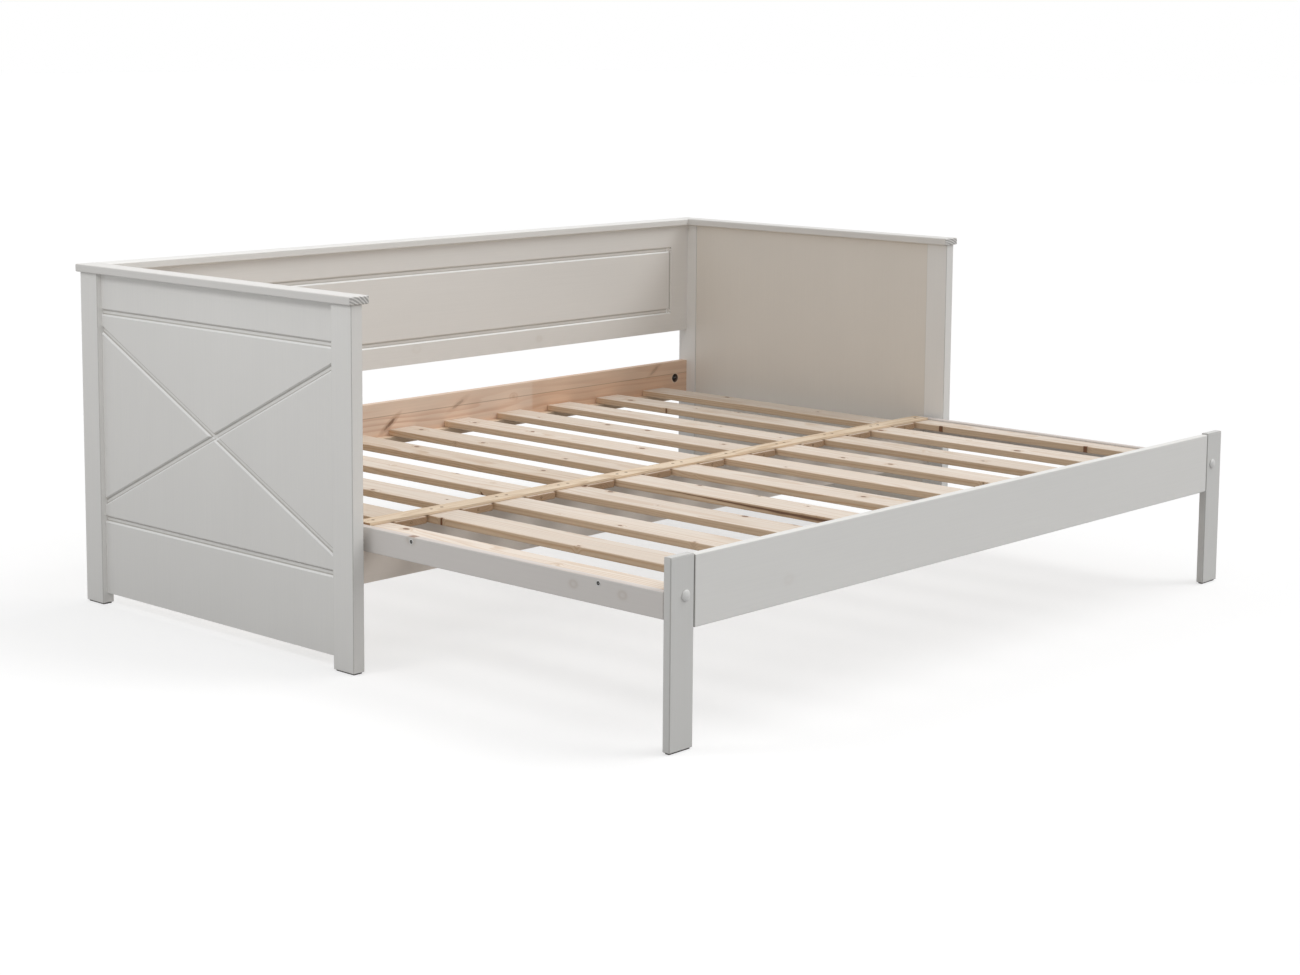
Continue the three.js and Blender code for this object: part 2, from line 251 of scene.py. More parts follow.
def turned_piece(name, profiles, body, material, replaced=()):
    """Several turned bodies in one piece. Each is (profile, axis, place, cross, cross depth);
    each open end is closed with one face."""
    points, faces, first = [], [], 0
    for profile, axis, at, cross, depth in profiles:
        p, quads, (bottom, top) = turned(profile, cross, depth)
        points.append(stood(p, axis, at))
        faces += (quads + first).tolist()
        faces += [(bottom[::-1] + first).tolist(), (top + first).tolist()]
        first += len(p)
    mesh = mesh_of(name, np.concatenate(points), faces)
    smooth(mesh)
    mesh.set_sharp_from_angle(angle=math.radians(35))
    return finish_piece(name, mesh, body, material, replaced)


# ---- finishes ----------------------------------------------------------------------------
class Finish:
    """A node material, made one node at a time."""

    def __init__(self, name):
        self.material = bpy.data.materials.new(name)
        self.material.use_nodes = True
        self.tree = self.material.node_tree
        self.tree.nodes.clear()
        self.output = self.tree.nodes.new("ShaderNodeOutputMaterial")
        self.shader = self.tree.nodes.new("ShaderNodeBsdfPrincipled")
        self.tree.links.new(self.shader.outputs[0], self.output.inputs[0])

    def put(self, socket, value):
        if isinstance(value, bpy.types.NodeSocket):
            self.tree.links.new(value, socket)
        else:
            socket.default_value = value

    def math(self, op, a, b=0.0, c=0.0):
        n = self.tree.nodes.new("ShaderNodeMath")
        n.operation = op
        for socket, value in zip(n.inputs, (a, b, c)):
            self.put(socket, value)
        return n.outputs[0]

    def vector(self, op, a, b=(0, 0, 0), out=0):
        n = self.tree.nodes.new("ShaderNodeVectorMath")
        n.operation = op
        self.put(n.inputs[0], a)
        self.put(n.inputs[1], b)
        return n.outputs[out]

    def parts(self, v):
        n = self.tree.nodes.new("ShaderNodeSeparateXYZ")
        self.put(n.inputs[0], v)
        return n.outputs

    def join(self, x, y, z):
        n = self.tree.nodes.new("ShaderNodeCombineXYZ")
        for socket, value in zip(n.inputs, (x, y, z)):
            self.put(socket, value)
        return n.outputs[0]

    def attribute(self, label, output="Vector"):
        n = self.tree.nodes.new("ShaderNodeAttribute")
        n.attribute_name = label
        return n.outputs[output]

    def place(self):
        return self.tree.nodes.new("ShaderNodeTexCoord").outputs["Object"]

    def noise(self, v, scale, detail=2.0, rough=0.5):
        """Soft noise whose grains are about 1 / scale long, scale being three numbers per metre."""
        n = self.tree.nodes.new("ShaderNodeTexNoise")
        self.put(n.inputs["Vector"], self.vector("MULTIPLY", v, scale))
        n.inputs["Scale"].default_value = 1.0
        n.inputs["Detail"].default_value = detail
        n.inputs["Roughness"].default_value = rough
        return n.outputs["Fac"]

    def step(self, value, low, high, start=0.0, end=1.0):
        """start below low, end above high, and a smooth step between."""
        n = self.tree.nodes.new("ShaderNodeMapRange")
        n.interpolation_type = "SMOOTHSTEP"
        for label, x in (("Value", value), ("From Min", low), ("From Max", high),
                         ("To Min", start), ("To Max", end)):
            self.put(n.inputs[label], x)
        return n.outputs["Result"]

    def mix(self, fac, a, b, blend="MIX"):
        n = self.tree.nodes.new("ShaderNodeMix")
        n.data_type, n.blend_type = "RGBA", blend
        # The node has sockets for each kind of data; its color ones are 6, 7 and 2.
        self.put(n.inputs[0], fac)
        self.put(n.inputs[6], a)
        self.put(n.inputs[7], b)
        return n.outputs[2]

    def times(self, color, tint):
        """A color multiplied by another, or by one number."""
        if isinstance(tint, bpy.types.NodeSocket) and tint.type == "VALUE":
            tint = self.join(tint, tint, tint)
        return self.mix(1.0, color, tint, "MULTIPLY")

    def bump(self, height, distance):
        n = self.tree.nodes.new("ShaderNodeBump")
        n.inputs["Strength"].default_value = 1.0
        n.inputs["Distance"].default_value = distance
        self.put(n.inputs["Height"], height)
        return n.outputs[0]

    def finish(self, color, roughness, normal=None, **sockets):
        self.put(self.shader.inputs["Base Color"], color)
        self.put(self.shader.inputs["Roughness"], roughness)
        if normal is not None:
            self.put(self.shader.inputs["Normal"], normal)
        for label, value in sockets.items():
            self.put(self.shader.inputs[SOCKETS[label]], value)
        return self.material


SOCKETS = {"metallic": "Metallic", "specular": "Specular IOR Level", "coat": "Coat Weight",
           "coat_roughness": "Coat Roughness"}


def rgb(r, g, b):
    return (r, g, b, 1.0)


FAR_OFF = 40.0                # knot radii, for a cell that has no knot


def knots_at(f, board, cell, radius, share):
    """Knots strewn through a board: a cell grid gives each cell one place, and a knot is a short
    bar through the board there, drawn out along the grain by 1 / 0.72. Returns how far a place
    is from it in knot radii, and its luck from 0 to 1. Only a share of the cells have one."""
    squash = (1 / cell[0], 1 / cell[1], 1 / cell[2])
    n = f.tree.nodes.new("ShaderNodeTexVoronoi")
    n.inputs["Scale"].default_value = 1.0
    n.inputs["Randomness"].default_value = 0.85
    scaled = f.vector("MULTIPLY", board, squash)
    f.put(n.inputs["Vector"], scaled)
    away = f.vector("MULTIPLY", f.vector("SUBTRACT", scaled, n.outputs["Position"]), cell)
    flat = f.vector("MULTIPLY", away, (1.0, 0.72, 0.015))
    luck = f.parts(n.outputs["Color"])
    size = f.math("MULTIPLY_ADD", luck[0], radius[1] - radius[0], radius[0])
    present = f.math("LESS_THAN", luck[1], share)
    far = f.math("DIVIDE", f.vector("LENGTH", flat, out=1), size)
    absent = f.math("MULTIPLY_ADD", present, -FAR_OFF, FAR_OFF)
    return f.math("ADD", far, absent), luck[2]


def bare_wood(name, early, late, knot, ring=5.5 * MM, knot_share=0.5, extra=None,
              knot_radius=(3.5 * MM, 9 * MM), knot_every=0.26, sawn=0.0):
    """Planed softwood. Rings are circles round the tree's heart, so a face shows long lines and
    arches and a sawn end shows arcs; they bulge round each knot. Their radius, in rings, is
    |place - heart| / ring + 2.2 exp(-0.22 far^2) + noise, and a ring's line is the dark late
    wood in the last part of each whole number. Sawn is how dull the narrow faces are."""
    f = Finish(name)
    board = f.attribute("board")
    tone, end, edge = f.parts(f.attribute("marks"))
    far, luck = knots_at(f, board, (0.085, knot_every, 0.5), knot_radius, knot_share)
    wander = f.noise(board, (9, 1.3, 9), 2.0)
    x, _, z = f.parts(board)
    drift = f.math("MULTIPLY_ADD", wander, 0.05, -0.025)
    heart = f.join(f.math("ADD", x, drift), 0.0, f.math("ADD", z, drift))
    bulge = f.math("EXPONENT", f.math("MULTIPLY", f.math("MULTIPLY", far, far), -0.22))
    rings = f.math("MULTIPLY_ADD", f.vector("LENGTH", heart, out=1), 1 / ring,
                   f.math("MULTIPLY", bulge, 2.2))
    rings = f.math("ADD", rings, f.math("MULTIPLY", f.noise(board, (60, 3, 60), 2.0), 0.7))
    turn = f.math("FRACT", rings)
    line = f.math("MULTIPLY", f.step(turn, 0.35, 0.86), f.step(turn, 0.9, 1.0, 1.0, 0.0))
    strength = f.step(f.noise(board, (25, 0.9, 25)), 0.3, 0.7, 0.35, 1.0)
    line = f.math("MULTIPLY", line, strength)
    fibre = f.noise(board, (1500, 28, 1500), 3.0, 0.6)
    broad = f.noise(board, (30, 0.8, 30), 3.0, 0.55)
    # The wood's color: ring lines, broad streaks, then its tone, fibres and worn edges.
    color = f.mix(line, early, late)
    color = f.mix(f.step(broad, 0.42, 0.75, 0.0, 0.5), color,
                  rgb(*(0.86 * e + 0.14 * l * 0.8 for e, l in zip(early[:3], late[:3]))))
    shade = f.math("MULTIPLY_ADD", tone, 0.17, 0.90)
    shade = f.math("MULTIPLY", shade, f.math("MULTIPLY_ADD", fibre, 0.12, 0.94))
    shade = f.math("MULTIPLY", shade, f.math("MULTIPLY_ADD", f.noise(board, (210, 5, 210), 3.0),
                                             0.16, 0.92))
    shade = f.math("MULTIPLY", shade, f.math("MULTIPLY_ADD", edge, -0.06, 1.0))
    color = f.times(color, shade)
    # Sawn ends: end grain's own darker, browner tone, deepened as painted shade.
    color = f.mix(end, color, f.times(color, rgb(0.56, 0.42, 0.3)))
    warm = f.math("MULTIPLY", f.step(f.math("SUBTRACT", 1.0, tone), 0.45, 1.0), 0.35)
    color = f.mix(warm, color, f.times(color, rgb(1.0, 0.9, 0.78)))
    side = f.math("MULTIPLY", f.attribute("narrow_side", "Fac"), sawn)
    color = f.mix(side, color, f.times(color, rgb(0.9, 0.77, 0.62)))
    # A knot: halo of darker fibres, dark rim, reddish heart with its own small rings.
    halo = f.step(far, 1.0, 3.2, 0.45, 0.0)
    color = f.mix(halo, color, rgb(late[0] * 0.86, late[1] * 0.78, late[2] * 0.68))
    small = f.math("SINE", f.math("MULTIPLY", far, 19.0))
    heart_color = f.mix(f.math("MULTIPLY_ADD", small, 0.2, 0.3), knot,
                        rgb(knot[0] * 0.45, knot[1] * 0.38, knot[2] * 0.34))
    color = f.mix(f.step(far, 0.82, 1.12, 1.0, 0.0), color, heart_color)
    rim = f.math("MULTIPLY", f.step(far, 0.72, 0.98), f.step(far, 1.0, 1.25, 1.0, 0.0))
    color = f.mix(f.math("MULTIPLY", rim, f.step(luck, 0.3, 0.8, 0.25, 0.9)), color,
                  rgb(knot[0] * 0.25, knot[1] * 0.2, knot[2] * 0.2))
    if extra:
        color = extra(f, color)
    rough = f.math("MULTIPLY_ADD", line, -0.1, f.math("MULTIPLY_ADD", fibre, 0.22, 0.52))
    height = f.math("ADD", f.math("MULTIPLY", fibre, 0.6), f.math("MULTIPLY", line, 0.5))
    height = f.math("ADD", height, f.step(far, 0.7, 1.2, 1.2, 0.0))
    return f.finish(color, rough, f.bump(height, 0.12 * MM), specular=0.4)


def painted_wood(name, coat, bleed_through=0.5, knot_radius=(5 * MM, 11 * MM),
                 knot_cell=(0.2, 0.5, 0.6), knot_share=0.16, bare_top=False, edge_shade=0.0,
                 end_rings=0.0, end_shade=0.0, extra=None):
    """Satin paint on pine: the grain shows faintly as long ridges, knots bleed a little
    through it, sawn ends drink the paint, and the coat is thin on the rounded edges. A bare
    top is a long narrow face that was planed after painting and shows its pale wood. Edge
    shade darkens the rounded edges, and end shade the sawn ends in a joint, both as painted shade."""
    f = Finish(name)
    board = f.attribute("board")
    tone, end, edge = f.parts(f.attribute("marks"))
    far, luck = knots_at(f, board, knot_cell, knot_radius, knot_share)
    ridges = f.noise(board, (330, 4.5, 330), 3.0, 0.6)
    peel = f.noise(board, (420, 420, 420), 2.0)
    cloud = f.noise(board, (7, 2.2, 7), 3.0)
    shade = f.math("MULTIPLY_ADD", ridges, 0.05, 0.955)
    shade = f.math("MULTIPLY", shade, f.math("MULTIPLY_ADD", cloud, 0.06, 0.97))
    shade = f.math("MULTIPLY", shade, f.math("MULTIPLY_ADD", tone, 0.03, 0.985))
    color = f.times(coat, shade)
    # Each knot bleeds through as a ring round a paler stain.
    ring = f.math("MULTIPLY", f.step(far, 0.35, 0.85), f.step(far, 0.9, 1.5, 1.0, 0.0))
    bleed = f.math("MULTIPLY", f.math("ADD", f.math("MULTIPLY", ring, 0.6),
                                      f.step(far, 0.5, 2.2, 0.4, 0.0)),
                   f.step(luck, 0.2, 0.9, 0.3 * bleed_through, bleed_through))
    stain = rgb(coat[0] * 0.62, coat[1] * 0.53, coat[2] * 0.44)
    color = f.mix(bleed, color, stain)
    if bare_top:
        grain_line = f.step(f.noise(board, (190, 3, 190), 3.0), 0.45, 0.72)
        bare = f.mix(grain_line, rgb(0.69, 0.63, 0.595), rgb(0.57, 0.475, 0.41))
        bare = f.mix(f.step(far, 0.8, 1.3, 0.9, 0.0), bare, rgb(0.27, 0.14, 0.08))
        color = f.mix(f.step(f.attribute("narrow_side", "Fac"), 0.7, 0.95), color, bare)
    # Sawn ends: growth rings and open pores; in a joint, painted shade darkens them.
    x, _, z = f.parts(board)
    ring_turn = f.math("DIVIDE", f.vector("LENGTH", f.join(x, 0.0, z), out=1), 3.2 * MM)
    ring_turn = f.math("PINGPONG", f.math("ADD", ring_turn, f.noise(board, (90, 0, 90))), 1.0)
    pores = f.step(f.noise(board, (900, 900, 420), 2.0), 0.42, 0.6, 0.86, 1.0)
    pores = f.math("MULTIPLY", pores, f.step(ring_turn, 0.25, 0.8, 1.0 - end_rings,
                                             1.0 + end_rings / 5))
    pores = f.math("MULTIPLY_ADD", end, f.math("SUBTRACT", pores, 1.0), 1.0)
    color = f.times(color, pores)
    if end_shade:
        color = f.mix(f.math("MULTIPLY", end, end_shade), color, rgb(0.2, 0.19, 0.175))
    worn = f.math("MULTIPLY", edge, f.step(f.noise(board, (60, 9, 60), 3.0), 0.5, 0.72, 0.0, 0.3))
    color = f.mix(worn, color, rgb(0.72, 0.63, 0.5))
    # Painted shade: a dark line along the rounded edges.
    if edge_shade:
        color = f.mix(f.math("MULTIPLY", edge, edge_shade), color, rgb(0.36, 0.35, 0.33))
    if extra:
        color = extra(f, color)
    rough = f.math("MULTIPLY_ADD", cloud, 0.16, f.math("MULTIPLY_ADD", peel, 0.1, 0.3))
    height = f.math("MULTIPLY_ADD", ridges, 0.7, f.math("MULTIPLY", peel, 0.35))
    height = f.math("ADD", height, f.math("MULTIPLY", f.step(far, 0.7, 1.4, 1.0, 0.0), 0.5))
    return f.finish(color, rough, f.bump(height, 0.09 * MM), coat=0.12,
                    coat_roughness=0.28, specular=0.5)


def bright_metal(name, base, dark):
    """Zinc-plated steel: soft spangle and small dull spots."""
    f = Finish(name)
    p = f.place()
    spangle = f.noise(p, (900, 900, 900), 3.0)
    dull = f.step(f.noise(p, (260, 260, 260), 4.0, 0.7), 0.48, 0.66)
    color = f.mix(f.math("MULTIPLY", dull, 0.6), base, dark)
    rough = f.math("MULTIPLY_ADD", dull, 0.25, f.math("MULTIPLY_ADD", spangle, 0.2, 0.22))
    return f.finish(color, rough, f.bump(spangle, 0.02 * MM), metallic=1.0)


def moulded(name, base, rough_low, grain_size, depth):
    """Moulded plastic or pressed felt: a fine even grain, and a little dust in it."""
    f = Finish(name)
    p = f.place()
    grain = f.noise(p, (1 / grain_size,) * 3, 3.0, 0.6)
    dust_and_shade = f.step(f.noise(p, (70, 70, 70), 3.0), 0.5, 0.8, 0.0, 0.25)
    color = f.mix(dust_and_shade, base, rgb(*(0.75 * c + 0.12 for c in base[:3])))
    rough = f.math("MULTIPLY_ADD", grain, 0.25, rough_low)
    return f.finish(color, rough, f.bump(grain, depth))


def groove_lines(f, color, grooves, deep):
    """Painted shade and a painted highlight along the grooves of a painted panel. Each groove is
    (above, within): how far a place lies above its middle line, and 1 within its length. Painted
    shade darkens the two inner corners, half a floor width from the middle; a painted highlight
    brightens the lower rim of the mouth, half a mouth below it. Places that lie deeper behind the
    grooved face than the grooves have none."""
    cut = f.step(deep, GROOVE_DEPTH, GROOVE_DEPTH + 2 * MM, 1.0, 0.0)
    for above, within in grooves:
        within = f.math("MULTIPLY", within, cut)
        corner = f.math("SUBTRACT", f.math("ABSOLUTE", above), GROOVE_FLOOR)
        # Painted shade in the groove's two inner corners.
        dust_and_shade = f.step(f.math("ABSOLUTE", corner), 0.7 * MM, 1.9 * MM, 0.6, 0.0)
        for other, _ in grooves:
            if other != above:
                dust_and_shade = f.math("MULTIPLY", dust_and_shade, f.step(f.math("ABSOLUTE", other), 3 * MM, 5 * MM))
        # Painted highlight along the groove's lower rim.
        lip_highlight = f.math("ABSOLUTE", f.math("ADD", above, GROOVE_MOUTH - 1 * MM))
        lip_highlight = f.step(lip_highlight, 1.2 * MM, 2.6 * MM, 0.95, 0.0)
        color = f.mix(f.math("MULTIPLY", lip_highlight, within), color, rgb(0.97, 0.97, 0.96))
        color = f.mix(f.math("MULTIPLY", dust_and_shade, within), color, rgb(0.36, 0.335, 0.3))
    return color


def end_groove_lines(f, color):
    """Two level grooves, and two that cross between the posts. A place (y, z) lies
    ((z - z0) run - (y - y0) rise) / length above the line from (y0, z0). The panel's
    inner face is darker and warmer, as painted shade."""
    x, y, z = f.parts(f.place())
    lo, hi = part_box("left_end_panel")
    run = hi.y - lo.y
    grooves = [(f.math("SUBTRACT", z, level), 1.0) for level in END_GROOVES]
    for z0, z1 in (CROSS_ENDS, CROSS_ENDS[::-1]):
        length = math.hypot(run, z1 - z0)
        over = f.math("MULTIPLY", f.math("SUBTRACT", z, z0), run / length)
        back = f.math("MULTIPLY", f.math("SUBTRACT", y, lo.y), (z1 - z0) / length)
        grooves.append((f.math("SUBTRACT", over, back), 1.0))
    deep = f.math("SUBTRACT", -lo.x, f.math("ABSOLUTE", x))
    # Painted shade: the panel's inner face darker and warmer.
    inner = f.step(deep, hi.x - lo.x - 1 * MM, hi.x - lo.x - 0.2 * MM)
    color = f.mix(inner, color, f.times(color, rgb(0.95, 0.905, 0.85)))
    return groove_lines(f, color, grooves, deep)


def back_groove_lines(f, color):
    """A long frame of grooves: two level ones, and an upright one at each end."""
    x, y, z = f.parts(f.place())
    out = f.math("SUBTRACT", f.math("ABSOLUTE", x), BACK_GROOVE_END)
    level = f.step(out, GROOVE_FLOOR, GROOVE_MOUTH, 1.0, 0.0)
    low, high = BACK_GROOVES
    off = f.math("SUBTRACT", f.math("ABSOLUTE", f.math("SUBTRACT", z, (low + high) / 2)),
                 (high - low) / 2)
    upright = f.step(off, GROOVE_FLOOR, GROOVE_MOUTH, 1.0, 0.0)
    deep = f.math("SUBTRACT", y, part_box("back_panel")[0].y)
    return groove_lines(f, color, [(f.math("SUBTRACT", z, low), level),
                                   (f.math("SUBTRACT", z, high), level), (out, upright)], deep)


def rail_marks(f, color):
    """The rear rail is glued up from a lower and a paler upper length, and past one place it is
    darker and redder: a painted shadow. Spike knots cross it: a place (x, z) is inside one where
    u * u + v * v < 1, u and v being its offsets along and across the spike in half lengths and half
    widths."""
    x, y, z = f.parts(f.place())
    # Painted shadow: the rail's right part darker and redder.
    past = f.step(x, *SHADOW_PAST)
    color = f.mix(past, color, f.times(color, rgb(0.93, 0.84, 0.76)))
    upper = f.step(z, GLUE_LINE_Z - 0.5 * MM, GLUE_LINE_Z + 0.5 * MM, 0.0, 0.3)
    color = f.mix(upper, color, rgb(0.8, 0.66, 0.54))
    glue = f.math("ABSOLUTE", f.math("SUBTRACT", z, GLUE_LINE_Z))
    color = f.mix(f.step(glue, 0.6 * MM, 1.4 * MM, 0.55, 0.0), color, rgb(0.36, 0.2, 0.11))
    ragged = f.math("MULTIPLY_ADD", f.noise(f.place(), (90, 90, 90), 3.0), 1.1, -0.55)
    for at_x, at_z, tilt, dark in SPIKE_KNOTS:
        c, t = math.cos(math.radians(tilt)), math.sin(math.radians(tilt))
        dx, dz = f.math("SUBTRACT", x, at_x), f.math("SUBTRACT", z, at_z)
        u = f.math("MULTIPLY_ADD", dx, c / SPIKE_LENGTH, f.math("MULTIPLY", dz, t / SPIKE_LENGTH))
        v = f.math("MULTIPLY_ADD", dx, -t / SPIKE_WIDTH, f.math("MULTIPLY", dz, c / SPIKE_WIDTH))
        near = f.math("ADD", f.math("MULTIPLY", u, u), f.math("MULTIPLY", v, v))
        near = f.math("ADD", near, ragged)
        color = f.mix(f.step(near, 0.7, 3.2, 0.6 * dark, 0.0), color, rgb(0.5, 0.3, 0.19))
        color = f.mix(f.step(near, 0.15, 0.75, 0.9 * dark, 0.0), color, rgb(0.17, 0.08, 0.045))
    # The access holes: painted shade darkens their inside, and a pale ring lies round each.
    lo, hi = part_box("left_rear_bolt")
    off = f.join(f.math("SUBTRACT", f.math("ABSOLUTE", x), ACCESS_X), 0.0,
                 f.math("SUBTRACT", z, (lo.z + hi.z) / 2))
    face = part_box("rear_rail")[0].y
    behind = f.step(y, face + ACCESS_DEPTH, face + ACCESS_DEPTH + 2 * MM, 0.0, 1.0)
    off = f.math("ADD", f.vector("LENGTH", off, out=1), behind)
    color = f.mix(f.step(off, ACCESS_HOLE + 1 * MM, ACCESS_HOLE + 4 * MM, 0.5, 0.0), color,
                  rgb(0.84, 0.73, 0.62))
    return f.mix(f.step(off, ACCESS_HOLE - 0.4 * MM, ACCESS_HOLE + 1.2 * MM, 0.93, 0.0), color,
                 rgb(0.1, 0.055, 0.035))


def bark_streak(f, color):
    """A seam of bark along the left side of one slat. It starts as a crack under the top edge
    and runs forward, growing wider and lower; t goes from 0 to 1 along it."""
    x, y, z = f.parts(f.place())
    t = f.step(y, BARK_ENDS[0], BARK_ENDS[1], 1.0, 0.0)
    wander = f.math("MULTIPLY_ADD", f.noise(f.place(), (0, 14, 0), 3.0), 3 * MM, -1.5 * MM)
    middle = f.math("ADD", f.math("MULTIPLY_ADD", t, -BARK_DROP, BARK_TOP), wander)
    width = f.math("MULTIPLY_ADD", t, 3.4 * MM, 0.5 * MM)
    width = f.math("MULTIPLY", width, f.math("MULTIPLY_ADD", f.noise(f.place(), (0, 26, 0)),
                                             0.9, 0.55))
    off = f.math("DIVIDE", f.math("ABSOLUTE", f.math("SUBTRACT", z, middle)), width)
    here = f.math("MULTIPLY", f.step(y, BARK_ENDS[0] - 0.05, BARK_ENDS[0]),
                  f.step(y, BARK_ENDS[1] - 0.04, BARK_ENDS[1], 1.0, 0.0))
    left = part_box("pull_slat_05")[0].x
    here = f.math("MULTIPLY", here, f.step(x, left + 1 * MM, left + 3 * MM, 1.0, 0.0))
    color = f.mix(f.math("MULTIPLY", here, f.step(off, 0.9, 2.6, 0.55, 0.0)), color,
                  rgb(0.4, 0.23, 0.12))
    return f.mix(f.math("MULTIPLY", here, f.step(off, 0.5, 1.15, 0.9, 0.0)), color,
                 rgb(0.15, 0.075, 0.04))


WHITE = rgb(0.84, 0.83, 0.805)
paint = painted_wood("white_satin_paint", WHITE, 0.3)
# The apron's coat is darker and warmer: painted shade, warm as under the bare pine.
warm_shaded_apron_paint = painted_wood("white_satin_paint_on_apron_painted_shade", rgb(0.82, 0.74, 0.665), 0.3)
# The side caps' coat is darker: painted shade. Their ends show growth rings.
shaded_cap_paint = painted_wood("white_satin_paint_on_caps_painted_shade", rgb(0.75, 0.735, 0.71), 0.3,
                         end_rings=0.4)
# The front rail's ends, in its joints with the legs, are darkened as painted shade.
rail_paint = painted_wood("white_satin_paint_on_rail", WHITE, 0.15, end_shade=0.85)
# Posts and legs carry painted shade along their rounded edges.
post_paint = painted_wood("white_satin_paint_on_posts", WHITE, 0.3, edge_shade=0.7)
# The legs' coat is darker and greyer: painted shade.
shaded_leg_paint = painted_wood("white_satin_paint_on_legs_painted_shade", rgb(0.71, 0.705, 0.685), 0.3, edge_shade=0.7)
# The grooves of the end and back panels carry painted shade and a painted highlight; the ends' inner
# faces carry painted shade.
end_paint = painted_wood("white_satin_paint_on_ends", WHITE, 0.3, extra=end_groove_lines)
back_paint = painted_wood("white_satin_paint_on_back", rgb(0.86, 0.835, 0.8), 0.3,
                          extra=back_groove_lines)
thin_paint = painted_wood("thin_white_paint", rgb(0.725, 0.69, 0.66), 1.0, (4.5 * MM, 10 * MM),
                          (0.06, 0.2, 0.6), 0.85, bare_top=True)
SLAT_WOOD = {"early": rgb(0.78, 0.69, 0.6), "late": rgb(0.64, 0.49, 0.36),
             "knot": rgb(0.25, 0.11, 0.05), "sawn": 1.0, "knot_radius": (1.8 * MM, 6.6 * MM),
             "knot_share": 0.68, "knot_every": 0.2}
pine = bare_wood("planed_pine", **SLAT_WOOD)
bark_pine = bare_wood("planed_pine_with_bark", extra=bark_streak, **SLAT_WOOD)
pink_pine = bare_wood("pink_rail_pine", rgb(0.79, 0.6, 0.47), rgb(0.68, 0.45, 0.32),
                      rgb(0.34, 0.14, 0.06), ring=9 * MM, extra=rail_marks,
                      knot_radius=(2 * MM, 5 * MM), knot_share=0.3)
ledger_pine = bare_wood("rough_ledger_pine", rgb(0.72, 0.58, 0.44), rgb(0.58, 0.4, 0.26),
                        rgb(0.3, 0.14, 0.07), ring=4 * MM)
strip_pine = bare_wood("yellow_strip_pine", rgb(0.85, 0.71, 0.55), rgb(0.6, 0.42, 0.25),
                       rgb(0.3, 0.14, 0.06), ring=3.5 * MM, knot_share=0.2,
                       knot_radius=(1.5 * MM, 4 * MM))
zinc = bright_metal("zinc_plate", rgb(0.62, 0.63, 0.64), rgb(0.34, 0.34, 0.33))
dark_steel = bright_metal("dark_bolt_steel", rgb(0.16, 0.16, 0.16), rgb(0.06, 0.055, 0.05))
screw_steel = bright_metal("bronzed_screw", rgb(0.3, 0.2, 0.12), rgb(0.1, 0.07, 0.05))
black_screw = moulded("blackened_screw", rgb(0.025, 0.022, 0.02), 0.4, 0.6 * MM, 0.02 * MM)
felt = moulded("dark_glide_felt", rgb(0.045, 0.038, 0.032), 0.7, 0.7 * MM, 0.15 * MM)
cap_plastic = moulded("pale_cap_plastic", rgb(0.78, 0.775, 0.76), 0.32, 1.2 * MM, 0.02 * MM)

# ---- fixed frame -------------------------------------------------------------------------
for side, s in SIDES:
    for end in ("front", "back"):
        board_piece(f"{side}_{end}_post", POST_EASE, Z, post_paint, FIXED)
        board_piece(f"{side}_{end}_post_glide", GLIDE_EASE, Y, felt, FIXED)
    eased_copy(f"{side}_end_panel", GROOVE_EASE, Z, end_paint, FIXED)
    board_piece(f"{side}_cap", CAP_EASE, Y, shaded_cap_paint, FIXED)
eased_copy("back_panel", GROOVE_EASE, X, back_paint, FIXED)
board_piece("back_cap", CAP_EASE, X, paint, FIXED)
eased_copy("rear_rail", REAR_RAIL_EASE, X, pink_pine, FIXED)
board_piece("rear_ledger", LEDGER_EASE, X, ledger_pine, FIXED)
eased_copy("apron", APRON_EASE, X, warm_shaded_apron_paint, FIXED)
for i in range(1, 11):
    board_piece(f"fixed_slat_{i:02d}", SLAT_EASE, Y, pine, FIXED)


def middle_of(lo, hi):
    return (lo.x + hi.x) / 2, (lo.y + hi.y) / 2, (lo.z + hi.z) / 2


def nut_bolt(node, s):
    """A cross bolt with its nut, as a profile turned about its axis: the nut has eased rims and
    the shank's radius swings by THREAD_DEPTH in saw teeth, one per thread pitch."""
    lo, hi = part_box(node)
    length, nut_r, rim = hi.x - lo.x, (hi.y - lo.y) / 2, TURNED_RIM
    teeth = np.arange(NUT_LENGTH + 0.2 * MM, length - 1.2 * MM, THREAD_PITCH / 2)
    shank = [(SHANK_RADIUS - THREAD_DEPTH * (k % 2), h) for k, h in enumerate(teeth)]
    nut = [(POLE, 0), (2.6 * MM, 0), (nut_r - rim, 0), (nut_r, rim), (nut_r, NUT_LENGTH - rim),
           (nut_r - rim, NUT_LENGTH), (SHANK_RADIUS, NUT_LENGTH)]
    tip = [(SHANK_RADIUS - 1 * MM, length - 0.6 * MM), (POLE, length)]
    profile = nut + shank + tip
    at = (lo.x if s > 0 else hi.x, *middle_of(lo, hi)[1:])
    return profile, (s, 0, 0), at, 0.0, 0.0


for side, s in SIDES:
    for kind in ("rear", "apron"):
        node = f"{side}_{kind}_bolt"
        turned_piece(node + "_turned", [nut_bolt(node, s)], FIXED,
                     dark_steel if kind == "rear" else zinc, [node])


def screw_head(radius, proud):
    """A low screw head: flat middle in rings for the driver cross, rounded rim, short neck."""
    rings = np.linspace(0.08, 0.78, 8)[::-1] * radius
    return ([(0.3 * radius, -2 * MM), (0.55 * radius, -1.5 * MM), (radius, -0.3 * MM),
             (radius, proud * 0.4), (0.9 * radius, proud)] + [(r, proud) for r in rings])


